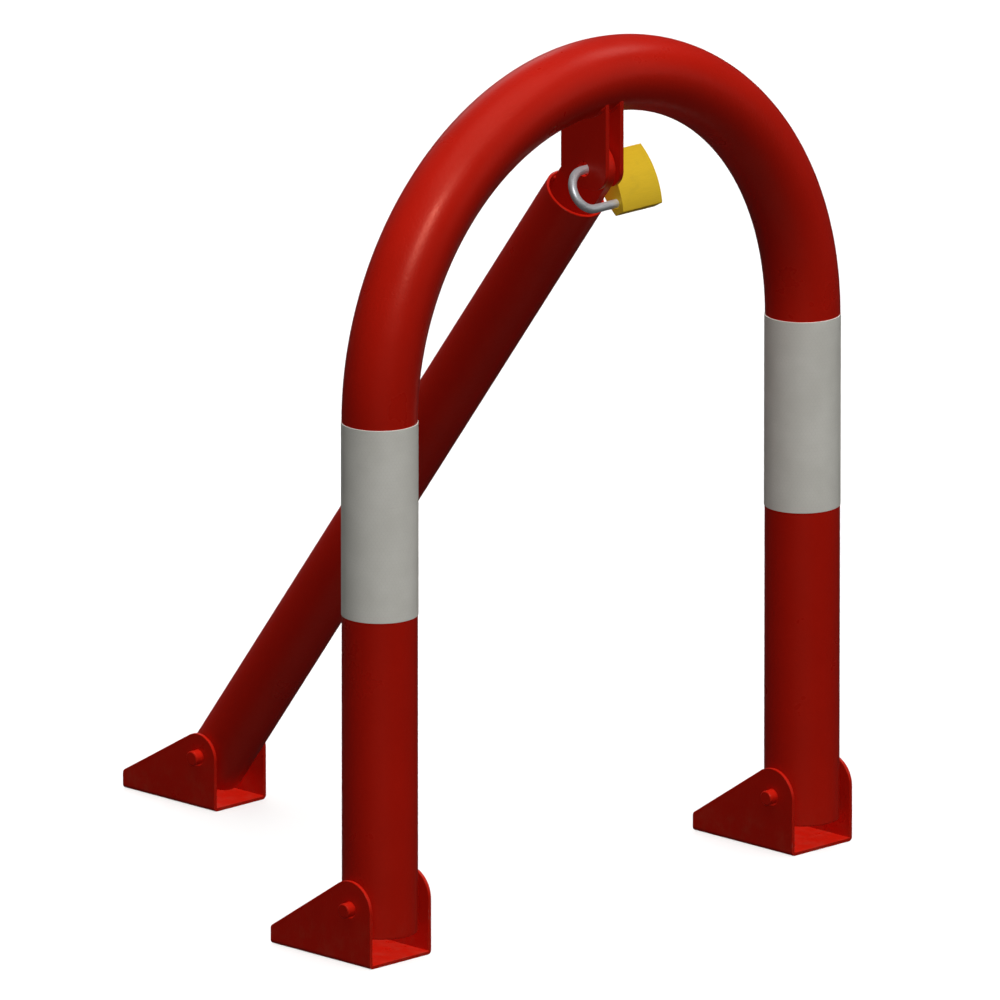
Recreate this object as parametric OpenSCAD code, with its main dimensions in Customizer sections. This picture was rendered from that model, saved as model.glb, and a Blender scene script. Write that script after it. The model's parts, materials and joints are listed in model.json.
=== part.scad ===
// Folding parking lock: a steel hoop on two hinged feet, held up by a hinged strut that a padlock
// joins to the lugs under the hoop's crown. +X runs along the hoop, +Y back to the strut's foot,
// +Z up; the origin is the middle of the footprint, on the ground.

/* [Hoop] */
// Overall height of the hoop above the ground
hoop_height = 700; // [640:5:800]
// Distance between the centre lines of the hoop's legs
leg_spacing = 471; // [440:1:520]
// Outside diameter of the hoop's tube
hoop_tube_d = 60; // [57:0.5:60]
// Wall thickness of the hoop's tube
hoop_wall = 2.5; // [2:0.1:4]
// Distance from the hinge pins down to the legs' lower ends
leg_below_pin = 23; // [18:0.5:24]

/* [Reflective bands] */
// Height of each light band round a leg
band_height = 156; // [100:1:200]
// Thickness of the reflective film
band_film = 0.4; // [0.2:0.05:0.8]

/* [Front feet] */
// Outside width of a front foot's channel
foot_width = 68; // [66:0.5:72]
// Length of a front foot from its front edge to its tail
foot_length = 111; // [100:1:130]
// Height of a front foot's hinge pin above the ground
foot_pin_height = 44.8; // [42:0.2:48]
// Radius of a front foot's cheeks about the hinge pin
foot_cheek_r = 23; // [20:0.5:25]

/* [Rear foot] */
// Outside width of the rear foot's channel
rear_foot_width = 58; // [56:0.5:62]
// Length of the rear foot from its front edge to its tail
rear_foot_length = 104; // [96:1:120]
// Height of the rear foot's hinge pin above the ground
rear_pin_height = 41.8; // [38:0.2:46]
// Radius of the rear foot's cheeks about the hinge pin
rear_cheek_r = 19.2; // [18:0.2:22]
// Distance from the front hinge line back to the rear hinge pin
strut_reach = 413.5; // [380:0.5:450]

/* [Sheet and pins] */
// Thickness of the feet's sheet
sheet = 3; // [2.5:0.5:3]
// Outside radius of the feet's bends
bend_r = 3.5; // [3.5:0.5:6]
// Height of a foot's cheeks at the tail
tail_height = 16.5; // [12:0.5:18]
// Diameter of the hinge pins
pin_d = 12; // [10:0.5:14]
// How far a hinge pin stands out of each cheek
pin_out = 7; // [3:0.5:10]
// Radial running clearance of a hinge pin in the cheeks
pin_play = 0.08; // [0.02:0.01:0.1]
// Diameter of the anchor bolt holes
anchor_hole_d = 11; // [9:0.5:13]
// Distance between a foot's two anchor bolt holes
anchor_spacing = 28; // [26:0.5:30]
// Distance from a front foot's hinge pin back to its first anchor hole
anchor_offset = 43; // [40:0.5:46]
// Distance from the rear foot's hinge pin back to its first anchor hole
rear_anchor_offset = 38; // [34:0.5:42]

/* [Strut] */
// Outside diameter of the strut's tube
strut_tube_d = 50; // [48:0.5:50]
// Wall thickness of the strut's tube
strut_wall = 2.5; // [2:0.1:3]
// Distance from the rear hinge pin to the strut's lower end
strut_below_pin = 20; // [16:0.5:22]
// Distance from the strut's upper end to the centre of the tongue's hole
tongue_reach = 31; // [30:0.5:36]
// Thickness of the tongue
tongue_thick = 8; // [6:0.5:9]
// Length of the tongue that is welded inside the tube
tongue_inside = 50; // [30:1:80]

/* [Lugs] */
// Height of the padlock hole above the ground
lug_hole_height = 597; // [594:0.5:600]
// Diameter of the padlock holes in the lugs and the tongue
lug_hole_d = 12; // [9:0.5:13]
// Width of a lug plate
lug_width = 50; // [46:1:56]
// Thickness of a lug plate
lug_thick = 4; // [3:0.5:5]
// Clear gap between the two lug plates
lug_gap = 12; // [11:0.5:14]
// Distance from the padlock hole down to the lugs' lower edge
lug_drop = 15.5; // [14:0.5:17]
// Radius of the lugs' lower corners
lug_corner_r = 15; // [8:0.5:15]

/* [Padlock] */
// Width of the padlock's case
case_width = 50; // [48:0.5:54]
// Height of the padlock's case
case_height = 43.5; // [42:0.5:48]
// Thickness of the padlock's case along its middle
case_thick = 20; // [19:0.5:22]
// Thickness of the padlock's case at its flat sides
case_side = 10; // [8:0.5:12]
// Diameter of the shackle's bar
shackle_d = 7; // [6.5:0.1:7]
// Distance between the centre lines of the shackle's legs
shackle_spacing = 32; // [31:0.5:33]
// Straight length of the shackle from the lug's side to the bend's start
shackle_straight = 22.5; // [22:0.5:30]
// How far the shackle's leg hangs below the middle of the lugs' holes
shackle_drop = 1; // [0:0.1:2]
// Angle of the padlock's width from the horizontal
padlock_lean = 61; // [50:1:66]
// How far the case drops off the shackle when it opens
shackle_lift = 11; // [11:0.1:12]
// How far each latch bolt draws back when the padlock opens
bolt_travel = 4.5; // [4.4:0.1:4.6]
// Depth of the latch notches in the shackle
notch_depth = 1.8; // [1.2:0.1:1.8]
// Radius of the key plug
plug_r = 6.8; // [6.7:0.1:6.9]
// Number of pin stacks over the plug
pin_stacks = 5; // [3:1:5]

/* [Hidden] */
$fn = 96;

eps = 0.01;
paint = [0.66, 0.07, 0.04];
film = [0.72, 0.71, 0.68];
brass = [0.83, 0.66, 0.22];
steel = [0.74, 0.75, 0.77];

leg_x = leg_spacing / 2;
hoop_r = hoop_tube_d / 2;
arch_z = hoop_height - leg_x - hoop_r;
rear_tail = rear_foot_length - rear_cheek_r;
row_front = hoop_r + band_film;
row_back = strut_reach + rear_tail;
hoop_y = (row_front - row_back) / 2;
rear_y = hoop_y + strut_reach;
strut_rise = lug_hole_height - rear_pin_height;
strut_length = norm([strut_reach, strut_rise]);
strut_angle = atan2(strut_rise, strut_reach);
strut_bore_r = strut_tube_d / 2 - strut_wall;
tongue_half = sqrt(strut_bore_r ^ 2 - (tongue_thick / 2) ^ 2) - 0.03;
lug_inner = lug_gap / 2;
lug_outer = lug_inner + lug_thick;

// Padlock frame: x along the shackle's legs and into the case, y from the heel leg to the toe leg,
// z through the case's thickness. The toe leg is the one that runs through the lugs.
case_top = lug_outer + 0.5;
case_bottom = case_top + case_height;
leg_y = shackle_spacing / 2;
shackle_r = shackle_d / 2;
shackle_bore_r = shackle_r + 0.15;
bend_x = case_top - shackle_straight;
case_bulge = (case_thick - case_side) / 2;
case_face_r = ((case_width / 2) ^ 2 + case_bulge ^ 2) / (2 * case_bulge);
toe_depth = 10.4;
heel_depth = 31;
heel_bore_depth = 37.5;
bolt_top = 3;
bolt_tip = 1.6;
bolt_thick = 4;
bolt_half = 3.3;
bolt_inner = 6.2;
bolt_play = 0.1;
nose_y = leg_y - shackle_r + notch_depth - bolt_play;
ramp_slope = bolt_travel / shackle_lift;
plug_top = case_top + bolt_top + bolt_thick + 0.2;
plug_bore_r = plug_r + 0.05;
tang = [3, 3.6, 1.8];
pin_r = 1.4;
pin_bore_r = pin_r + 0.1;
pin_pitch = 4.4;
pin_first = 18.5;
driver_length = 4.5;
cover_depth = 2.5;
cover = [pin_pitch * (pin_stacks - 1) + 2 * pin_bore_r + 1, cover_depth, 2 * pin_bore_r + 0.6];
keeper_r = 1.2;
keeper_depth = 16;
keeper_y = -leg_y - shackle_r - 0.4;
keeper_flat = 2.6;
retainer_r = 1;
retainer_x = case_bottom - 4;
retainer_y = -plug_r - 0.1;
retainer_groove_r = plug_r - 1;

// Bars and tubes along X
module x_bar(x0, x1, r) {
    translate([x0, 0, 0]) rotate([0, 90, 0]) cylinder(h = x1 - x0, r = r);
}

// A round pin along X, centred, with both ends chamfered
module chamfered_pin(length, r, chamfer) {
    rotate([0, 90, 0]) {
        cylinder(h = length - 2 * chamfer, r = r, center = true);
        for (end = [0, 180])
            rotate([end, 0, 0]) translate([0, 0, length / 2 - chamfer - eps])
                cylinder(h = chamfer + eps, r1 = r, r2 = r - chamfer);
    }
}

// ---- Hoop ----

module arch(section_r) {
    translate([0, hoop_y, arch_z]) rotate([90, 0, 0])
        rotate_extrude(angle = 180) translate([leg_x, 0]) circle(r = section_r);
}

module hoop_solid(section_r, end_z) {
    arch(section_r);
    for (side = [-1, 1])
        translate([side * leg_x, hoop_y, end_z]) cylinder(h = arch_z - end_z, r = section_r);
}

module hoop_tube() {
    end_z = foot_pin_height - leg_below_pin;
    color(paint) difference() {
        hoop_solid(hoop_r, end_z);
        hoop_solid(hoop_r - hoop_wall, end_z - 1);
        translate([0, hoop_y, foot_pin_height])
            x_bar(-leg_x - hoop_tube_d, leg_x + hoop_tube_d, pin_d / 2 + 0.05);
    }
}

module lug_plate(x0) {
    low = lug_hole_height - lug_drop;
    top = hoop_height - hoop_tube_d + 20;
    color(paint) difference() {
        translate([x0, hoop_y, 0]) rotate([90, 0, 90]) linear_extrude(lug_thick) {
            translate([-lug_width / 2, low + lug_corner_r])
                square([lug_width, top - low - lug_corner_r]);
            translate([-lug_width / 2 + lug_corner_r, low])
                square([lug_width - 2 * lug_corner_r, lug_corner_r + eps]);
            for (side = [-1, 1])
                translate([side * (lug_width / 2 - lug_corner_r), low + lug_corner_r])
                    circle(r = lug_corner_r);
        }
        arch(hoop_r);
        translate([0, hoop_y, lug_hole_height]) x_bar(x0 - 1, x0 + lug_thick + 1, lug_hole_d / 2);
    }
}

module left_lug_plate() {
    lug_plate(-lug_outer);
}

module right_lug_plate() {
    lug_plate(lug_inner);
}

module reflective_band(side) {
    color(film) translate([side * leg_x, hoop_y, arch_z - band_height]) difference() {
        cylinder(h = band_height, r = hoop_r + band_film);
        translate([0, 0, -1]) cylinder(h = band_height + 2, r = hoop_r);
    }
}

module left_reflective_band() {
    reflective_band(-1);
}

module right_reflective_band() {
    reflective_band(1);
}

module front_hinge_pin(side) {
    color(paint) translate([side * leg_x, hoop_y, foot_pin_height])
        chamfered_pin(foot_width + 2 * pin_out, pin_d / 2, 1);
}

module left_hinge_pin() {
    front_hinge_pin(-1);
}

module right_hinge_pin() {
    front_hinge_pin(1);
}

// ---- Feet ----

// Cheek outline with the hinge at [0, pin_z]: an arc over the pin and a straight fall to the tail
module cheek_outline(pin_z, r, tail_y) {
    corner = 4;
    pin = [0, pin_z];
    tail = [tail_y - corner, tail_height - corner];
    run = tail - pin;
    normal_angle = atan2(run.y, run.x) + acos((r - corner) / norm(run));
    normal = [cos(normal_angle), sin(normal_angle)];
    polygon([[-r, 0], [tail_y, 0], [tail_y, tail_height - corner], tail, tail + corner * normal,
        pin + r * normal, pin, [-r, pin_z]]);
    translate(pin) circle(r = r);
    translate(tail) circle(r = corner);
}

// Channel section, open at the top, with rounded lower corners
module channel_fill(width, height, r) {
    translate([-width / 2, r]) square([width, height - r]);
    translate([-width / 2 + r, 0]) square([width - 2 * r, height]);
    for (side = [-1, 1])
        translate([side * (width / 2 - r), r]) circle(r = r);
}

module foot_bracket(width, length, pin_z, r, anchor_y) {
    tail_y = length - r;
    hole_r = pin_d / 2 + pin_play;
    lip = 0.9;
    color(paint) difference() {
        intersection() {
            translate([0, tail_y + 1, 0]) rotate([90, 0, 0]) linear_extrude(length + 2)
                difference() {
                    channel_fill(width, pin_z + r + 10, bend_r);
                    translate([0, sheet]) channel_fill(width - 2 * sheet, pin_z + r + 10, bend_r - sheet);
                }
            translate([-width / 2 - 1, 0, 0]) rotate([90, 0, 90]) linear_extrude(width + 2)
                cheek_outline(pin_z, r, tail_y);
        }
        translate([0, 0, pin_z]) {
            x_bar(-width, width, hole_r);
            for (side = [-1, 1])
                translate([side * (width / 2 - lip), 0, 0]) rotate([0, side * 90, 0])
                    cylinder(h = lip + eps, r1 = hole_r, r2 = hole_r + lip);
        }
        for (y = [anchor_y, anchor_y + anchor_spacing])
            translate([0, y, -1]) cylinder(h = sheet + 2, r = anchor_hole_d / 2);
    }
}

module left_foot_bracket() {
    translate([-leg_x, hoop_y, 0])
        foot_bracket(foot_width, foot_length, foot_pin_height, foot_cheek_r, anchor_offset);
}

module right_foot_bracket() {
    translate([leg_x, hoop_y, 0])
        foot_bracket(foot_width, foot_length, foot_pin_height, foot_cheek_r, anchor_offset);
}

module rear_foot_bracket() {
    translate([0, rear_y, 0])
        foot_bracket(rear_foot_width, rear_foot_length, rear_pin_height, rear_cheek_r, rear_anchor_offset);
}

// ---- Strut ----

// Children are drawn with z along the strut's axis, from the hinge pin up to the tongue's hole
module on_strut() {
    translate([0, rear_y, rear_pin_height]) rotate([90 - strut_angle, 0, 0]) children();
}

module strut_tube() {
    top = strut_length - tongue_reach;
    color(paint) on_strut() difference() {
        translate([0, 0, -strut_below_pin])
            cylinder(h = top + strut_below_pin, r = strut_tube_d / 2);
        translate([0, 0, -strut_below_pin - 1])
            cylinder(h = top + strut_below_pin + 2, r = strut_bore_r);
        x_bar(-strut_tube_d, strut_tube_d, pin_d / 2 + 0.05);
    }
}

module strut_tongue() {
    low = strut_length - tongue_reach - tongue_inside;
    color(paint) on_strut() difference() {
        translate([-tongue_thick / 2, 0, 0]) rotate([90, 0, 90]) linear_extrude(tongue_thick) {
            translate([-tongue_half, low]) square([2 * tongue_half, strut_length - low]);
            translate([0, strut_length]) circle(r = tongue_half);
        }
        translate([0, 0, strut_length]) x_bar(-tongue_thick, tongue_thick, lug_hole_d / 2);
    }
}

module rear_hinge_pin() {
    color(paint) translate([0, rear_y, rear_pin_height])
        chamfered_pin(rear_foot_width + 2 * pin_out, pin_d / 2, 1);
}

// ---- Padlock ----

module on_padlock() {
    translate([0, hoop_y, lug_hole_height - shackle_drop]) rotate([padlock_lean, 0, 0])
        translate([0, -leg_y, 0]) children();
}

// A notch for a latch bolt on the leg's inner side: a square end towards the bend, then a ramp
// that the bolt's nose follows towards the leg's tip
module latch_notch() {
    floor_y = leg_y - shackle_r + notch_depth;
    open_y = leg_y - shackle_r - 1;
    start = case_top + bolt_top - bolt_play;
    flat_end = case_top + bolt_top + bolt_tip + bolt_play;
    ramp_end = flat_end + (floor_y - open_y) / ramp_slope;
    linear_extrude(2 * shackle_d, center = true)
        polygon([[start, open_y], [start, floor_y], [flat_end, floor_y], [ramp_end, open_y]]);
}

module shackle_leg(side, depth) {
    tip = 0.8;
    translate([0, side * leg_y, 0]) {
        x_bar(bend_x, case_top + depth - tip, shackle_r);
        translate([case_top + depth - tip - eps, 0, 0]) rotate([0, 90, 0])
            cylinder(h = tip + eps, r1 = shackle_r, r2 = shackle_r - tip);
    }
}

module padlock_shackle() {
    groove_start = case_top + keeper_depth - keeper_r - 0.3;
    groove_length = shackle_lift + 2 * keeper_r + 0.6;
    color(steel) on_padlock() difference() {
        union() {
            shackle_leg(1, toe_depth);
            shackle_leg(-1, heel_depth);
            translate([bend_x, 0, 0]) rotate([0, 0, 90]) rotate_extrude(angle = 180)
                translate([leg_y, 0]) circle(r = shackle_r);
        }
        latch_notch();
        mirror([0, 1, 0]) latch_notch();
        translate([groove_start, -leg_y - shackle_d, -shackle_d])
            cube([groove_length, shackle_d - keeper_flat, 2 * shackle_d]);
    }
}

module case_section() {
    face_y = case_thick / 2 - case_face_r;
    intersection() {
        square([case_width, 2 * case_thick], center = true);
        translate([0, face_y]) circle(r = case_face_r, $fn = 360);
        translate([0, -face_y]) circle(r = case_face_r, $fn = 360);
    }
}

module padlock_case() {
    color(brass) on_padlock() difference() {
        translate([case_top, 0, 0]) rotate([90, 0, 90]) linear_extrude(case_height) case_section();
        translate([0, leg_y, 0])
            x_bar(case_top - 1, case_top + toe_depth + 0.5, shackle_bore_r);
        translate([0, -leg_y, 0])
            x_bar(case_top - 1, case_top + heel_bore_depth, shackle_bore_r);
        x_bar(case_top + bolt_top - bolt_play, case_bottom + 1, plug_bore_r);
        translate([case_top + bolt_top - bolt_play, -leg_y, -bolt_half - bolt_play])
            cube([bolt_thick + 2 * bolt_play, 2 * leg_y, 2 * (bolt_half + bolt_play)]);
        for (x = pin_positions())
            translate([x, 0, 0]) rotate([-90, 0, 0])
                cylinder(h = case_width / 2 - cover_depth / 2, r = pin_bore_r);
        translate([cover_x() - 0.05, case_width / 2 - cover_depth, -cover.z / 2 - 0.05])
            cube([cover.x + 0.1, cover_depth + 1, cover.z + 0.1]);
        translate([retainer_x, retainer_y, -case_thick])
            cylinder(h = case_thick + 3.2, r = retainer_r + 0.05);
        translate([case_top + keeper_depth, keeper_y, -case_thick])
            cylinder(h = case_thick + 4.2, r = keeper_r + 0.05);
    }
}

function pin_positions() = [for (i = [0 : pin_stacks - 1]) case_top + pin_first + i * pin_pitch];

function cover_x() = pin_positions()[0] - pin_bore_r - 0.5;

module padlock_pin_cover() {
    color(brass) on_padlock()
        translate([cover_x(), case_width / 2 - cover_depth, -cover.z / 2]) cube(cover);
}

module padlock_driver_pins() {
    color(brass) on_padlock() for (x = pin_positions())
        translate([x, plug_bore_r + 0.05, 0]) rotate([-90, 0, 0])
            cylinder(h = driver_length, r = pin_r);
}

// A round wire wound into a helix along +z, as one closed surface
module spring(length, coil_r, wire_r, turns) {
    around = 10;
    sides = 5;
    steps = turns * around;
    function ring(i) = [for (j = [0 : sides - 1])
        let (turn = 360 * i / around, edge = 360 * j / sides, r = coil_r + wire_r * cos(edge))
            [r * cos(turn), r * sin(turn),
                wire_r + (length - 2 * wire_r) * i / steps + wire_r * sin(edge)]];
    points = [for (i = [0 : steps]) each ring(i)];
    walls = [for (i = [0 : steps - 1], j = [0 : sides - 1])
        let (a = i * sides + j, b = i * sides + (j + 1) % sides)
            [a, a + sides, b + sides, b]];
    first = [for (j = [0 : sides - 1]) j];
    last = [for (j = [sides - 1 : -1 : 0]) steps * sides + j];
    polyhedron(points, concat(walls, [first, last]), convexity = 10);
}

module padlock_pin_springs() {
    start = plug_bore_r + 0.1 + driver_length;
    room = case_width / 2 - cover_depth - start - 0.05;
    color(steel) on_padlock() for (x = pin_positions())
        translate([x, start, 0]) rotate([-90, 0, 0]) spring(room, 1, 0.25, 4);
}

module padlock_plug_retainer() {
    back = case_thick / 2 - 0.6;
    color(steel) on_padlock() translate([retainer_x, retainer_y, -back])
        cylinder(h = back + 3, r = retainer_r);
}

module padlock_shackle_keeper() {
    back = case_side / 2 + 1.5;
    color(steel) on_padlock() translate([case_top + keeper_depth, keeper_y, -back])
        cylinder(h = back + 4, r = keeper_r);
}

module padlock_shackle_spring() {
    start = heel_depth + 0.1;
    color(steel) on_padlock() translate([case_top + start, -leg_y, 0]) rotate([0, 90, 0])
        spring(heel_bore_depth - start - 0.1, 2.6, 0.4, 5);
}

module padlock_plug() {
    keyway = [26, 8, 2.2];
    color(brass) on_padlock() difference() {
        union() {
            x_bar(plug_top, case_bottom - 0.1, plug_r);
            translate([plug_top - tang.x, -tang.y / 2, -tang.z / 2]) cube(tang + [eps, 0, 0]);
        }
        translate([case_bottom - keyway.x, -4.4, -keyway.z / 2]) cube(keyway);
        translate([retainer_x, 0, 0]) difference() {
            x_bar(-retainer_r - 0.1, retainer_r + 0.1, plug_r + 1);
            x_bar(-retainer_r - 0.2, retainer_r + 0.2, retainer_groove_r);
        }
        for (x = pin_positions())
            translate([x, 0, 0]) rotate([-90, 0, 0]) cylinder(h = plug_r + 1, r = pin_bore_r);
    }
}

// Key pins reach from the shear line down to the cuts of a key, so their lengths differ
module padlock_key_pins() {
    shear = plug_r - 0.3;
    color(brass) on_padlock() for (i = [0 : pin_stacks - 1]) {
        length = 3.4 + 0.6 * ((2 * i + 1) % 3);
        translate([pin_positions()[i], shear - length, 0]) rotate([-90, 0, 0])
            cylinder(h = length, r = pin_r);
    }
}

// Edge of the cam that keeps a flat bolt end at a distance falling evenly with the turn
function cam_edge() =
    let (reach = bolt_inner - bolt_play, slope = bolt_travel / (PI / 2))
        [for (turn = [-90 : 10 : 0])
            let (h = reach + bolt_travel * turn / 90)
                [h * cos(turn) - slope * sin(turn), h * sin(turn) + slope * cos(turn)]];

// The cam's two working edges, each followed by the flat that the other bolt comes to rest on
module padlock_cam() {
    start = case_top + bolt_top;
    half_edge = concat(cam_edge(),
        [[bolt_half + 2 * bolt_play, bolt_inner - bolt_play - bolt_travel]]);
    color(steel) on_padlock() difference() {
        translate([start, 0, 0]) rotate([90, 0, 90]) linear_extrude(bolt_thick)
            polygon(concat(half_edge, [for (p = half_edge) -p]));
        translate([plug_top - tang.x - 0.05, -tang.y / 2 - 0.05, -tang.z / 2 - 0.05])
            cube(tang + [1, 0.1, 0.1]);
    }
}

module latch_bolt() {
    start = case_top + bolt_top;
    shoulder_y = nose_y - (bolt_thick - bolt_tip) * ramp_slope;
    color(steel) linear_extrude(2 * bolt_half, center = true)
        polygon([[start, bolt_inner], [start, nose_y], [start + bolt_tip, nose_y],
            [start + bolt_thick, shoulder_y], [start + bolt_thick, bolt_inner]]);
}

module padlock_toe_bolt() {
    on_padlock() latch_bolt();
}

module padlock_heel_bolt() {
    on_padlock() mirror([0, 1, 0]) latch_bolt();
}

hoop_tube();
left_lug_plate();
right_lug_plate();
left_reflective_band();
right_reflective_band();
left_hinge_pin();
right_hinge_pin();
strut_tube();
strut_tongue();
rear_hinge_pin();
left_foot_bracket();
right_foot_bracket();
rear_foot_bracket();
padlock_shackle();
padlock_case();
padlock_pin_cover();
padlock_driver_pins();
padlock_pin_springs();
padlock_plug_retainer();
padlock_shackle_keeper();
padlock_shackle_spring();
padlock_plug();
padlock_key_pins();
padlock_cam();
padlock_toe_bolt();
padlock_heel_bolt();
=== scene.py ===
import json
import math

import bmesh
import bpy
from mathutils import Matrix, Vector


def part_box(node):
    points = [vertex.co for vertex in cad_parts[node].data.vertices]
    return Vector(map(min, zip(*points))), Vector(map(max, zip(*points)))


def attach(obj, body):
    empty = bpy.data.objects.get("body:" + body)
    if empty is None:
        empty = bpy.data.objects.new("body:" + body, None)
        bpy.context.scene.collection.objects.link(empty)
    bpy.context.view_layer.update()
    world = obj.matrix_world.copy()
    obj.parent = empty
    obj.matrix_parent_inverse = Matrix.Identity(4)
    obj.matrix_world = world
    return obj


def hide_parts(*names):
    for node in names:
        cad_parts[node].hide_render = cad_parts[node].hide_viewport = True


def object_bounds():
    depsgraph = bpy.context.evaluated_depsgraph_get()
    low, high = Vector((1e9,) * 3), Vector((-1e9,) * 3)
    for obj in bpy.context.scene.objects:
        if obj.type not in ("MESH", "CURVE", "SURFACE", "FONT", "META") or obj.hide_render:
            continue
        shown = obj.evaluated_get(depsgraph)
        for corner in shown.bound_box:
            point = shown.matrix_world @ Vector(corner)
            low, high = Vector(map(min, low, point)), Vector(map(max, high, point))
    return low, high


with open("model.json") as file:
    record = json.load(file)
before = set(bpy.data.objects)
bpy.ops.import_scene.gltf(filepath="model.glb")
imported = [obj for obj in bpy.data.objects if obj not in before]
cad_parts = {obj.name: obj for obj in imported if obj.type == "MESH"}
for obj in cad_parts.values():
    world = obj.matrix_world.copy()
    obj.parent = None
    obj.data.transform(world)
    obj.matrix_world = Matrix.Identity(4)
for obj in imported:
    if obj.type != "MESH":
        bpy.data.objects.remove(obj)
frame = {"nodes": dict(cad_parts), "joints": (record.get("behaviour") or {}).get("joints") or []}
cad_low, cad_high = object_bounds()
scene = bpy.context.scene

# ---- Places read from the frame ----

joints = {j["name"]: Vector(j["pos_m"]) for j in frame["joints"] if "pos_m" in j}
hoop_low, hoop_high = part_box("hoop_tube")
hoop_r = (hoop_high.y - hoop_low.y) / 2
hoop_y = (hoop_high.y + hoop_low.y) / 2
leg_x = hoop_high.x - hoop_r
arch_z = hoop_high.z - leg_x - hoop_r
rear_pin = joints["strut_fold"]
lug_low, lug_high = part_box("right_lug_plate")
lug_drop = 0.0155  # from the padlock hole down to the lugs' lower edge
lug_hole = Vector((0, hoop_y, lug_low.z + lug_drop))
strut_r = (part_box("strut_tube")[1].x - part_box("strut_tube")[0].x) / 2
strut_axis = (lug_hole - rear_pin).normalized()
strut_side = Vector((1, 0, 0))
strut_up = strut_side.cross(strut_axis)
tongue_half_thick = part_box("strut_tongue")[1].x
tongue_reach = 0.031  # from the strut's upper end to the tongue's hole
strut_top = (lug_hole - rear_pin).length - tongue_reach
strut_below_pin = 0.020
wall = 0.0025  # of both tubes

# ---- Mesh helpers ----


def mesh_object(name, bm, sharp_angle=35):
    """A smooth-shaded object whose edges over sharp_angle degrees stay crisp."""
    bmesh.ops.recalc_face_normals(bm, faces=bm.faces)
    bm.normal_update()
    for face in bm.faces:
        face.smooth = True
    for edge in bm.edges:
        if len(edge.link_faces) == 2:
            edge.smooth = edge.calc_face_angle(0) < math.radians(sharp_angle)
    mesh = bpy.data.meshes.new(name)
    bm.to_mesh(mesh)
    bm.free()
    piece = bpy.data.objects.new(name, mesh)
    scene.collection.objects.link(piece)
    return piece


def stand_for(piece, body, slot, finish, *nodes):
    """Puts a piece on a body in place of CAD nodes, with the finish as its material. The slot
    argument is not used.
    """
    piece.data.materials.append(finish)
    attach(piece, body)
    if nodes:
        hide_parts(*nodes)


def skin(bm, rings, closed=False, caps=False):
    """Joins rings of equally many points into one surface."""
    made = [[bm.verts.new(point) for point in ring] for ring in rings]
    count = len(made[0])
    pairs = list(zip(made, made[1:]))
    if closed:
        pairs.append((made[-1], made[0]))
    for first, second in pairs:
        for i in range(count):
            j = (i + 1) % count
            bm.faces.new((first[i], first[j], second[j], second[i]))
    if caps:
        bm.faces.new(made[0])
        bm.faces.new(made[-1])


def ring(origin, u, v, radius, count=128):
    """Points of a circle round the origin, in the plane of u and v."""
    turns = [2 * math.pi * i / count for i in range(count)]
    return [origin + radius * (math.cos(a) * u + math.sin(a) * v) for a in turns]


def corner(centre_s, centre_r, size, start, end, steps=4):
    """Points (along, radius) of a rounded corner between two directions in degrees."""
    found = []
    for i in range(steps + 1):
        a = math.radians(start + (end - start) * i / steps)
        found.append((centre_s + size * math.cos(a), centre_r + size * math.sin(a)))
    return found


def pipe(bm, stations, outer, inner, edge=0.0006):
    """A pipe with rounded ends along stations of (origin, u, v, tangent)."""

    def at(station, along, radius):
        origin, u, v, tangent = station
        return ring(origin + along * tangent, u, v, radius)

    first, last, middle = stations[0], stations[-1], stations[1:-1]
    near = 2.5 * edge  # rings close to the ends keep the shading of the long walls straight
    rings = [at(first, s, r) for s, r in corner(edge, outer - edge, edge, 180, 90)]
    rings.append(at(first, near, outer))
    rings += [at(station, 0, outer) for station in middle]
    rings.append(at(last, -near, outer))
    rings += [at(last, s, r) for s, r in corner(-edge, outer - edge, edge, 90, 0)]
    rings += [at(last, s, r) for s, r in corner(-edge, inner + edge, edge, 0, -90)]
    rings.append(at(last, -near, inner))
    rings += [at(station, 0, inner) for station in reversed(middle)]
    rings.append(at(first, near, inner))
    rings += [at(first, s, r) for s, r in corner(edge, inner + edge, edge, 270, 180)]
    skin(bm, rings, closed=True)


def turned(bm, origin, axis, u, profile, count=96):
    """A solid of revolution from (along, radius) points, closed at both ends."""
    v = axis.cross(u)
    skin(bm, [ring(origin + s * axis, u, v, r, count) for s, r in profile], caps=True)


def bead(bm, path, side, radius, seed=0.0, pitch=0.0021):
    """A weld bead: a rounded bar along the path, with the ripples that a welder leaves."""
    length = 0
    rings = []
    count = 14
    fade, blunt = 4, 0.12  # points in which an end runs out, and how blunt its tip stays
    ripple_depth, drift_depth, drift_rate = 0.09, 0.07, 310
    for i, point in enumerate(path):
        before, after = path[max(i - 1, 0)], path[min(i + 1, len(path) - 1)]
        length += (point - path[max(i - 1, 0)]).length
        tangent = (after - before).normalized()
        u = (side - side.dot(tangent) * tangent).normalized()
        v = tangent.cross(u)
        end = min(i, len(path) - 1 - i) / fade
        taper = math.sin(math.pi / 2 * min(1, end + blunt))
        ripple = 1 + ripple_depth * math.sin(2 * math.pi * length / pitch + seed)
        drift = 1 + drift_depth * math.sin(length * drift_rate + 2.3 * seed)
        rings.append(ring(point, u, v, radius * taper * ripple * drift, count))
    skin(bm, rings, caps=True)


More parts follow.
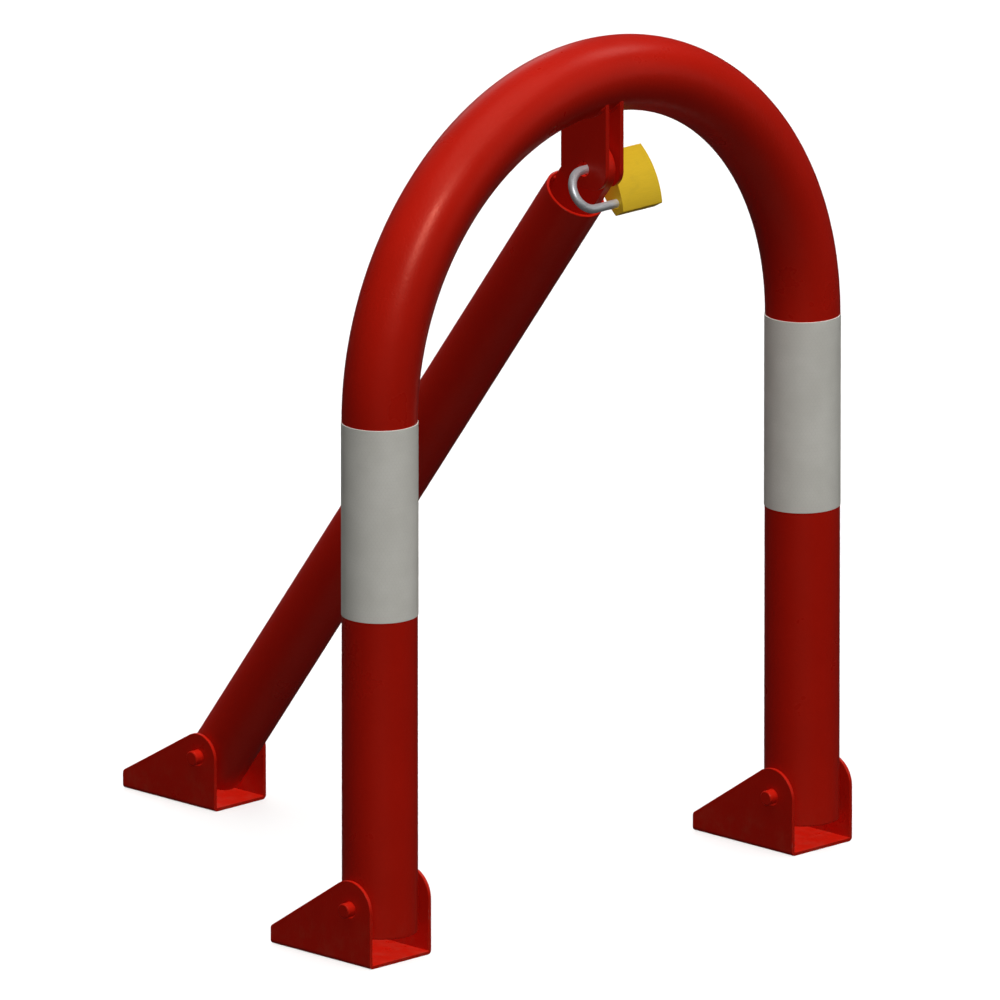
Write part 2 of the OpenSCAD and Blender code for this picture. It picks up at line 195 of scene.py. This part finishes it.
def copy_of(node, bevel, wanted=None):
    """The CAD node's shape as a new mesh, its sharp edges rounded off by a bevel."""
    bm = bmesh.new()
    bm.from_mesh(frame["nodes"][node].data)
    bmesh.ops.remove_doubles(bm, verts=bm.verts, dist=1e-6)
    bmesh.ops.dissolve_limit(
        bm, angle_limit=math.radians(0.6), verts=bm.verts, edges=bm.edges
    )
    bm.normal_update()
    if not bevel:
        return bm
    edges = [
        edge
        for edge in bm.edges
        if len(edge.link_faces) == 2
        and edge.calc_face_angle(0) > math.radians(28)
        and (wanted is None or wanted(edge))
    ]
    bmesh.ops.bevel(
        bm,
        geom=edges,
        offset=bevel,
        offset_type="OFFSET",
        segments=3,
        profile=0.5,
        affect="EDGES",
        clamp_overlap=False,
        miter_outer="ARC",
    )
    return bm


def weigh_normals(piece):
    """Keeps the shading of flat faces flat beside their rounded edges."""
    flat = piece.modifiers.new("flat_faces", "WEIGHTED_NORMAL")
    flat.keep_sharp = True
    flat.weight = 100
    return piece


# ---- Material helpers ----


class Maker:
    """Builds one procedural material; every length in it is in metres on the object."""

    def __init__(self, name):
        self.material = bpy.data.materials.new(name)
        self.material.use_nodes = True
        self.tree = self.material.node_tree
        self.shader = self.tree.nodes["Principled BSDF"]
        self.place = self.add("ShaderNodeTexCoord").outputs["Object"]

    def add(self, kind, inputs=None, **settings):
        node = self.tree.nodes.new(kind)
        for key, value in settings.items():
            setattr(node, key, value)
        for key, value in (inputs or {}).items():
            self.put(node.inputs[key], value)
        return node

    def put(self, socket, value):
        if isinstance(value, bpy.types.NodeSocket):
            self.tree.links.new(value, socket)
        else:
            socket.default_value = value

    def math(self, operation, a, b=0.0, clamp=False):
        node = self.add("ShaderNodeMath", {0: a, 1: b}, operation=operation)
        node.use_clamp = clamp
        return node.outputs[0]

    def noise(self, size, detail=2.0, rough=0.5, place=None, shift=0.0):
        place = place or self.place
        if shift:
            place = self.add(
                "ShaderNodeVectorMath",
                {0: place, 1: (shift, 0.7 * shift, 1.3 * shift)},
                operation="ADD",
            ).outputs[0]
        return self.add(
            "ShaderNodeTexNoise",
            {"Vector": place, "Scale": 1 / size, "Detail": detail, "Roughness": rough},
        ).outputs["Fac"]

    def stretched(self, scale):
        return self.add(
            "ShaderNodeVectorMath", {0: self.place, 1: scale}, operation="MULTIPLY"
        ).outputs[0]

    def between(self, value, low, high, to_low=0.0, to_high=1.0):
        """The value's place between low and high, eased, from to_low to to_high."""
        return self.add(
            "ShaderNodeMapRange",
            {0: value, 1: low, 2: high, 3: to_low, 4: to_high},
            interpolation_type="SMOOTHSTEP",
        ).outputs[0]

    def mix(self, amount, a, b):
        node = self.add("ShaderNodeMix", data_type="RGBA")
        for socket, value in ((0, amount), (6, a), (7, b)):
            if isinstance(value, tuple):
                value = (*value, 1.0)
            self.put(node.inputs[socket], value)
        return node.outputs[2]

    def bump(self, height, depth, normal=None):
        inputs = {"Height": height, "Distance": depth, "Strength": 1.0}
        if normal:
            inputs["Normal"] = normal
        return self.add("ShaderNodeBump", inputs).outputs["Normal"]

    def edges(self, radius, low=0.03, high=0.18):
        """1 on edges that stick out or in, 0 on flat ground."""
        soft = self.add("ShaderNodeBevel", {"Radius": radius}, samples=6)
        true = self.add("ShaderNodeNewGeometry").outputs["Normal"]
        agree = self.add(
            "ShaderNodeVectorMath", {0: soft.outputs[0], 1: true}, operation="DOT_PRODUCT"
        ).outputs["Value"]
        return self.between(self.math("SUBTRACT", 1.0, agree), low, high)

    def height(self):
        return self.add("ShaderNodeSeparateXYZ", {0: self.place}).outputs["Z"]

    def done(self, colour, rough, normal=None, metal=None):
        self.put(self.shader.inputs["Base Color"], colour)
        self.put(self.shader.inputs["Roughness"], rough)
        if metal is not None:
            self.put(self.shader.inputs["Metallic"], metal)
        if normal is not None:
            self.put(self.shader.inputs["Normal"], normal)
        return self.material


def shade(colour, factor):
    """The colour made darker or lighter."""
    return tuple(min(1.0, c * factor) for c in colour)


RED = (0.47, 0.0095, 0.0036)
PRIMER = (0.17, 0.15, 0.135)
GROUND_DUST = (0.30, 0.20, 0.13)


def powder_coat(name, shift, chips, dust, edge_wear_and_highlight=0.35):
    """Red powder coat: orange peel, slow drifts of tone and gloss, edges lighter red partly as
    worn paint and partly as painted highlight, a few chips on edges.
    """
    m = Maker(name)
    drift = m.between(m.noise(0.11, 3, 0.55, shift=shift), 0.3, 0.7)
    colour = m.mix(drift, shade(RED, 0.95), shade(RED, 1.05))
    speck = m.between(m.noise(0.0011, 1, shift=shift + 3), 0.62, 0.74)
    colour = m.mix(m.math("MULTIPLY", speck, 0.25), colour, shade(RED, 1.35))
    edge = m.edges(0.0014)
    # Edges painted lighter red: partly paint worn thin, partly a painted highlight where edges
    # catch the light
    worn_edge_and_highlight = m.math("MULTIPLY", edge, edge_wear_and_highlight)
    colour = m.mix(worn_edge_and_highlight, colour, shade(RED, 1.28))
    broken = m.noise(0.0085, 4, 0.62, shift=shift + 7)
    broken = m.between(broken, 0.655 - chips, 0.685 - chips)
    chip = m.math("MULTIPLY", edge, broken, clamp=True)
    colour = m.mix(chip, colour, PRIMER)
    low = m.between(m.height(), 0.0, 0.055, 1.0, 0.0)
    grime = m.between(m.noise(0.013, 5, 0.65, shift=shift + 11), 0.42, 0.75)
    dirty = m.math("MULTIPLY", m.math("MULTIPLY", low, grime), dust)
    colour = m.mix(dirty, colour, GROUND_DUST)
    peel = m.noise(0.0023, 2, 0.45, shift=shift + 17)
    pits = m.between(m.noise(0.0016, 0, shift=shift + 19), 0.70, 0.78, 1.0, 0.0)
    normal = m.bump(peel, 0.00010)
    normal = m.bump(pits, 0.00004, normal)
    normal = m.bump(m.math("SUBTRACT", 1.0, chip), 0.00008, normal)
    gloss = m.between(m.noise(0.045, 4, 0.6, shift=shift + 23), 0.3, 0.7, 0.27, 0.36)
    dull = m.math("MULTIPLY", m.math("ADD", dirty, chip), 0.3)
    rough = m.math("ADD", gloss, dull, clamp=True)
    m.shader.inputs["Specular Tint"].default_value = (1.0, 0.35, 0.25, 1.0)
    return m.done(colour, rough, normal)


def reflective_film():
    """White retroreflective film: fine hexagonal cells under a satin face."""
    m = Maker("reflective_film")
    spot = m.add("ShaderNodeSeparateXYZ", {0: m.place}).outputs
    across = m.math("SUBTRACT", m.math("ABSOLUTE", spot["X"]), leg_x)
    depth = m.math("SUBTRACT", spot["Y"], hoop_y)
    around = m.math("MULTIPLY", m.math("ARCTAN2", depth, across), hoop_r)
    cell = 0.0031
    u = m.math("DIVIDE", around, cell)
    v = m.math("DIVIDE", spot["Z"], cell)

    def cell_edge(du, dv):
        row = math.sqrt(3)
        x = m.math("SUBTRACT", m.math("FLOORED_MODULO", m.math("ADD", u, du), 1.0), 0.5)
        y = m.math("SUBTRACT", m.math("FLOORED_MODULO", m.math("ADD", v, dv), row), row / 2)
        x, y = m.math("ABSOLUTE", x), m.math("ABSOLUTE", y)
        slant = m.math("ADD", m.math("MULTIPLY", x, 0.5), m.math("MULTIPLY", y, row / 2))
        return m.math("MAXIMUM", x, slant)

    reach = m.math("MINIMUM", cell_edge(0.0, 0.0), cell_edge(0.5, math.sqrt(3) / 2))
    line = m.between(reach, 0.445, 0.49)
    drift = m.between(m.noise(0.03, 4, 0.55), 0.3, 0.7)
    colour = m.mix(drift, (0.74, 0.725, 0.66), (0.80, 0.785, 0.72))
    colour = m.mix(m.math("MULTIPLY", line, 0.30), colour, (0.60, 0.585, 0.53))
    scuff = m.between(m.noise(1.0, 5, 0.6, place=m.stretched((60, 60, 900))), 0.63, 0.72)
    patch = m.between(m.noise(0.03, 2, shift=5), 0.5, 0.62)
    scuff = m.math("MULTIPLY", scuff, patch)
    colour = m.mix(m.math("MULTIPLY", scuff, 0.22), colour, (0.42, 0.40, 0.36))
    beads = m.noise(0.0006, 1)
    normal = m.bump(beads, 0.000006)
    normal = m.bump(m.math("SUBTRACT", 1.0, line), 0.00003, normal)
    gloss = m.between(drift, 0, 1, 0.40, 0.48)
    rough = m.math("ADD", gloss, m.math("MULTIPLY", scuff, 0.2))
    return m.done(colour, rough, normal)


def brushed(
    name,
    light,
    dark,
    scale,
    rough,
    shift=0.0,
    fleck=(0.34, 0.22, 0.04),
    age=0.4,
    metal=1.0,
    tint=(1.0, 1.0, 1.0),
):
    """Metal with fine scratches along one line, blotches of age and bright edges."""
    m = Maker(name)
    lines = m.noise(1.0, 4, 0.6, place=m.stretched(scale), shift=shift)
    broad = m.noise(0.012, 4, 0.6, shift=shift + 2)
    colour = m.mix(m.between(lines, 0.3, 0.7), dark, light)
    old = m.math("MULTIPLY", m.between(broad, 0.5, 0.75), age)
    colour = m.mix(old, colour, fleck)
    edge = m.edges(0.0007, 0.02, 0.2)
    colour = m.mix(m.math("MULTIPLY", edge, 0.5), colour, shade(light, 1.12))
    normal = m.bump(lines, 0.000016)
    knocks = m.between(m.noise(0.004, 2, shift=shift + 5), 0.70, 0.78, 1.0, 0.0)
    normal = m.bump(knocks, 0.00004, normal)
    spread = m.between(lines, 0.3, 0.7, rough - 0.05, rough + 0.05)
    spread = m.math("ADD", spread, m.math("MULTIPLY", old, 0.15))
    m.shader.inputs["Specular Tint"].default_value = (*tint, 1.0)
    return m.done(colour, spread, normal, metal)


def turned_metal(name, light, dark, rough, shift):
    """Bar or wire metal: faint rings from the tool and a little unevenness."""
    m = Maker(name)
    rings = m.noise(1.0, 3, 0.6, place=m.stretched((2600, 260, 260)), shift=shift)
    blotch = m.noise(0.003, 3, 0.6, shift=shift + 1)
    colour = m.mix(m.between(blotch, 0.3, 0.7), dark, light)
    normal = m.bump(rings, 0.00001)
    spread = m.between(rings, 0.3, 0.7, rough - 0.05, rough + 0.07)
    return m.done(colour, spread, normal, 1.0)


hoop_paint = powder_coat("hoop_paint", shift=0.0, chips=0.0, dust=0.06)
strut_paint = powder_coat("strut_paint", shift=31.0, chips=0.0, dust=0.06)
foot_paint = powder_coat("foot_paint", shift=57.0, chips=0.02, dust=0.09)
pin_paint = powder_coat("pin_paint", shift=83.0, chips=0.02, dust=0.06, edge_wear_and_highlight=0.12)
film = reflective_film()
case_brass = brushed(
    "lock_brass",
    light=(0.86, 0.57, 0.032),
    dark=(0.80, 0.52, 0.026),
    scale=(90, 3200, 3200),
    rough=0.42,
    age=0.12,
    metal=0.2,
    tint=(1.0, 0.8, 0.3),
)
plug_brass = brushed(
    "plug_brass",
    light=(0.74, 0.50, 0.13),
    dark=(0.58, 0.38, 0.09),
    scale=(1400, 1400, 1400),
    rough=0.36,
    shift=9.0,
)
pin_brass = turned_metal(
    "pin_brass",
    light=(0.76, 0.54, 0.16),
    dark=(0.62, 0.42, 0.11),
    rough=0.34,
    shift=4.0,
)
shackle_steel = brushed(
    "shackle_steel",
    light=(0.70, 0.715, 0.735),
    dark=(0.56, 0.575, 0.60),
    scale=(160, 1300, 1300),
    rough=0.40,
    shift=3.0,
    fleck=(0.30, 0.29, 0.28),
    age=0.25,
    metal=0.6,
)
lock_steel = brushed(
    "lock_steel",
    light=(0.50, 0.505, 0.515),
    dark=(0.36, 0.365, 0.375),
    scale=(1700, 300, 300),
    rough=0.40,
    shift=6.0,
    fleck=(0.18, 0.15, 0.12),
    age=0.3,
)
spring_steel = turned_metal(
    "spring_steel",
    light=(0.46, 0.465, 0.475),
    dark=(0.30, 0.30, 0.31),
    rough=0.33,
    shift=8.0,
)

# ---- Hoop ----


def hoop_stations():
    """Frames up the left leg, over the arch and down the right leg."""
    x_axis, y_axis, z_axis = Vector((1, 0, 0)), Vector((0, 1, 0)), Vector((0, 0, 1))
    found = []
    rises = 10
    for i in range(rises):
        z = hoop_low.z + (arch_z - hoop_low.z) * i / rises
        found.append((Vector((-leg_x, hoop_y, z)), -x_axis, y_axis, z_axis))
    turns = 120
    for i in range(turns + 1):
        a = math.pi * (1 - i / turns)
        out = Vector((math.cos(a), 0, math.sin(a)))
        along = Vector((math.sin(a), 0, -math.cos(a)))
        found.append((Vector((0, hoop_y, arch_z)) + leg_x * out, out, y_axis, along))
    for i in range(1, rises + 1):
        z = arch_z + (hoop_low.z - arch_z) * i / rises
        found.append((Vector((leg_x, hoop_y, z)), x_axis, y_axis, -z_axis))
    return found


bm = bmesh.new()
pipe(bm, hoop_stations(), hoop_r, hoop_r - wall)
tube = mesh_object("hoop_bent_tube", bm)
stand_for(tube, "hoop", "hoop_paint", hoop_paint, "hoop_tube")


def crown_underside(x, y):
    """Height of the arch's inner side over a point near the middle of the hoop."""
    reach = leg_x - math.sqrt(hoop_r**2 - y**2)
    return arch_z + math.sqrt(reach**2 - x**2)


def lug_beads(side):
    """Welds along a lug's two faces, running out before its edges."""
    inset, off_face, bead_r, steps = 0.002, 0.0002, 0.0015, 60
    half = (lug_high.y - lug_low.y) / 2 - inset
    made = bmesh.new()
    for x, out in ((lug_high.x + off_face, 0.6), (lug_low.x - off_face, -0.6)):
        path = []
        for i in range(steps + 1):
            y = -half + 2 * half * i / steps
            path.append(Vector((side * x, hoop_y + y, crown_underside(x, y))))
        bead(made, path, Vector((side * out, 0.1, -1)), bead_r, seed=1.0 + side + out)
    return made


for side, word in ((-1, "left"), (1, "right")):
    node = f"{word}_lug_plate"
    plate = mesh_object(f"{word}_lug", copy_of(node, bevel=0.0004))
    stand_for(weigh_normals(plate), "hoop", "hoop_paint", hoop_paint, node)
    weld = mesh_object(f"{word}_lug_weld", lug_beads(side), sharp_angle=60)
    stand_for(weld, "hoop", "hoop_paint", hoop_paint)

# ---- Reflective bands ----


def film_band(node):
    """A strip of film wrapped round a leg, its end lapped over its start at the back."""
    low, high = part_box(node)
    thick = (high.x - low.x) / 2 - hoop_r
    centre = Vector(((low.x + high.x) / 2, hoop_y, 0))
    lap, count, soft = 0.011, 160, 0.00012
    into_tube, ramp = 0.00005, 0.004  # the film climbs onto its start over the ramp
    made = bmesh.new()
    rows = []
    start = math.radians(90)
    turn = 2 * math.pi + lap / hoop_r
    ramp_start = turn - 1.6 * lap / hoop_r  # well before the lap itself
    for i in range(count + 1):
        a = turn * i / count
        climb = min(1.0, max(0.0, (a - ramp_start) * hoop_r / ramp))
        base = hoop_r - into_tube + climb * climb * (3 - 2 * climb) * thick
        out = Vector((math.cos(start + a), math.sin(start + a), 0))
        profile = [
            (base, low.z),
            (base + thick - soft, low.z),
            (base + thick, low.z + soft),
            (base + thick, low.z + 4 * soft),
            (base + thick, high.z - 4 * soft),
            (base + thick, high.z - soft),
            (base + thick - soft, high.z),
            (base, high.z),
        ]
        rows.append([centre + r * out + Vector((0, 0, z)) for r, z in profile])
    skin(made, rows, caps=True)
    return made


for word in ("left", "right"):
    node = f"{word}_reflective_band"
    band = mesh_object(f"{word}_film_band", film_band(node), sharp_angle=60)
    stand_for(band, "hoop", "reflective_film", film, node)

# ---- Strut ----

strut_stations = []
spans = 16
for i in range(spans + 1):
    along = -strut_below_pin + (strut_top + strut_below_pin) * i / spans
    place = rear_pin + along * strut_axis
    strut_stations.append((place, strut_side, strut_up, strut_axis))
bm = bmesh.new()
pipe(bm, strut_stations, strut_r, strut_r - wall)
tube = mesh_object("strut_straight_tube", bm)
stand_for(tube, "strut", "strut_paint", strut_paint, "strut_tube")
tongue = mesh_object("strut_tongue_plate", copy_of("strut_tongue", bevel=0.0006))
stand_for(weigh_normals(tongue), "strut", "strut_paint", strut_paint, "strut_tongue")

# Welds inside the tube's mouth, in the four corners between the tongue and the tube
bm = bmesh.new()
mouth = rear_pin + strut_top * strut_axis
off_face, off_wall = 0.0003, 0.0005
corner_x = tongue_half_thick + off_face
corner_up = math.sqrt((strut_r - wall) ** 2 - tongue_half_thick**2) - off_wall
weld_top, weld_length, weld_r, steps = 0.0015, 0.024, 0.0019, 40
for sx in (-1, 1):
    for sy in (-1, 1):
        start = mouth + sx * corner_x * strut_side + sy * corner_up * strut_up
        depths = [weld_top + weld_length * (1 - i / steps) for i in range(steps + 1)]
        path = [start - depth * strut_axis for depth in depths]
        bead(bm, path, sx * strut_side, weld_r, seed=sx + 2.0 * sy)
welds = mesh_object("tongue_welds", bm, sharp_angle=60)
stand_for(welds, "strut", "strut_paint", strut_paint)

# ---- Hinge pins ----

for word, body in (("left", "hoop"), ("right", "hoop"), ("rear", "strut")):
    node = f"{word}_hinge_pin"
    low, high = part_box(node)
    half, radius = (high.x - low.x) / 2, (high.z - low.z) / 2
    chamfer, soft, near = 0.0007, 0.0001, 0.0013
    ends = [
        (half, radius - near),
        (half, radius - chamfer - 2 * soft),
        (half - soft, radius - chamfer),
        (half - chamfer, radius - soft),
        (half - chamfer - 2 * soft, radius),
        (half - near, radius),
    ]
    profile = [(-s, r) for s, r in ends] + [(s, r) for s, r in reversed(ends)]
    bm = bmesh.new()
    turned(bm, (low + high) / 2, Vector((1, 0, 0)), Vector((0, 1, 0)), profile)
    piece = mesh_object(f"{word}_pivot_pin", bm)
    stand_for(piece, body, "pin_paint", pin_paint, node)

# ---- Feet ----

for word in ("left", "right", "rear"):
    node = f"{word}_foot_bracket"
    foot = mesh_object(f"{word}_foot", copy_of(node, bevel=0.00045))
    stand_for(weigh_normals(foot), "feet", "foot_paint", foot_paint, node)

# ---- Padlock ----

case_low, case_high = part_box("padlock_case")


def outer_edge(edge):
    """True for the case's outline at its ends and its long corners, not for its bores."""
    a, b = edge.verts[0].co, edge.verts[1].co
    at_end = any(
        abs(a.x - x) < 1e-5 and abs(b.x - x) < 1e-5 for x in (case_low.x, case_high.x)
    )
    long_corner = abs(a.x - b.x) > 0.8 * (case_high.x - case_low.x)
    return at_end or long_corner


case = mesh_object("padlock_body", copy_of("padlock_case", bevel=0.0005, wanted=outer_edge))
stand_for(weigh_normals(case), "padlock", "lock_brass", case_brass, "padlock_case")
shackle = mesh_object("padlock_bow", copy_of("padlock_shackle", bevel=0))
stand_for(shackle, "shackle", "shackle_steel", shackle_steel, "padlock_shackle")
for node, finish in (
    ("padlock_pin_cover", case_brass),
    ("padlock_driver_pins", pin_brass),
    ("padlock_pin_springs", spring_steel),
    ("padlock_plug_retainer", lock_steel),
    ("padlock_shackle_keeper", lock_steel),
    ("padlock_shackle_spring", spring_steel),
    ("padlock_plug", plug_brass),
    ("padlock_key_pins", pin_brass),
    ("padlock_cam", lock_steel),
    ("padlock_toe_bolt", lock_steel),
    ("padlock_heel_bolt", lock_steel),
):
    for holder in frame["nodes"][node].material_slots:
        holder.material = finish

# ---- Floor, light and camera ----

bm = bmesh.new()
floor_r, floor_gap = 40.0, 0.0002
bmesh.ops.create_circle(bm, cap_ends=True, segments=96, radius=floor_r)
floor = mesh_object("floor", bm)
floor.location.z = cad_low.z - floor_gap
ground = Maker("pale_floor")
tone = ground.between(ground.noise(2.5, 2), 0.3, 0.7)
floor.data.materials.append(
    ground.done(ground.mix(tone, (0.90, 0.90, 0.895), (0.92, 0.92, 0.915)), 0.9)
)
floor.visible_diffuse = False
floor.visible_glossy = False

world = bpy.data.worlds.new("studio")
scene.world = world
world.use_nodes = True
tree = world.node_tree
sky = tree.nodes["Background"]
sky.inputs["Color"].default_value = (1.0, 1.0, 1.0, 1.0)
direction = tree.nodes.new("ShaderNodeTexCoord")
split = tree.nodes.new("ShaderNodeSeparateXYZ")
tree.links.new(direction.outputs["Generated"], split.inputs[0])
dome = tree.nodes.new("ShaderNodeMapRange")
dome.interpolation_type = "SMOOTHSTEP"
tree.links.new(split.outputs["Z"], dome.inputs[0])
# Dim from below up to a height of 0.4, then lighter towards the top
for index, value in ((1, 0.4), (2, 1.0), (3, 0.02), (4, 0.12)):
    dome.inputs[index].default_value = value
tree.links.new(dome.outputs[0], sky.inputs["Strength"])


def softbox(name, towards, distance, size, power, target):
    """A light for the highlights only, which shines on the target from a direction."""
    lamp = bpy.data.lights.new(name, "AREA")
    lamp.shape = "RECTANGLE"
    lamp.size, lamp.size_y = size
    lamp.energy = power
    holder = bpy.data.objects.new(name, lamp)
    scene.collection.objects.link(holder)
    direction = Vector(towards).normalized()
    holder.location = target + distance * direction
    holder.rotation_euler = (-direction).to_track_quat("-Z", "Y").to_euler()
    holder.visible_diffuse = False


middle = (cad_low + cad_high) / 2
softbox("front_soft", (-0.42, -0.69, 0.58), 3.0, (0.5, 0.5), 27, middle)
softbox("right_soft", (0.5, -0.8, 0.33), 3.2, (2.2, 2.2), 6, middle)
softbox("back_soft", (0.45, 0.75, 0.45), 3.2, (1.4, 1.4), 4, middle)
softbox("high_soft", (0.62, -0.17, 0.76), 3.0, (0.9, 0.9), 5, middle)


def even_light(name, towards, strength, shadow):
    """Wide, even light without highlights, from a direction."""
    lamp = bpy.data.lights.new(name, "SUN")
    lamp.energy = strength
    lamp.angle = math.radians(60)
    lamp.use_shadow = shadow
    holder = bpy.data.objects.new(name, lamp)
    scene.collection.objects.link(holder)
    holder.rotation_euler = (-Vector(towards)).to_track_quat("-Z", "Y").to_euler()
    holder.visible_glossy = False


above = (-0.05, -0.29, 0.95)
even_light("top_key", above, 0.35, shadow=True)
even_light("top_fill", above, 3.35, shadow=False)
even_light("front_fill", (-0.67, -0.74, 0.0), 0.27, shadow=False)
even_light("back_fill", (0.55, 0.80, 0.20), 0.9, shadow=False)
even_light("low_fill", (-0.2, -0.2, -0.95), 0.23, shadow=False)

# The camera's lens is so long that its lines are nearly parallel, as in the picture
elevation = math.radians(15)
back = Vector((-math.cos(elevation), -math.cos(elevation), 0)) / math.sqrt(2)
back.z = math.sin(elevation)
camera_data = bpy.data.cameras.new("camera")
camera_data.lens = 1500
camera_data.sensor_width = 36
camera = bpy.data.objects.new("camera", camera_data)
scene.collection.objects.link(camera)
scene.camera = camera
right = (-back).cross(Vector((0, 0, 1))).normalized()
up = right.cross(-back)
seen_width = 0.7902
off_right, off_up = 0.0930, -0.0658
aim = middle + off_right * right + off_up * up
distance = seen_width / 2 / (camera_data.sensor_width / 2 / camera_data.lens)
camera.location = aim + distance * back
camera.rotation_euler = (-back).to_track_quat("-Z", "Y").to_euler()
camera_data.clip_start, camera_data.clip_end = 1.0, 120.0
scene.view_settings.view_transform = "Standard"
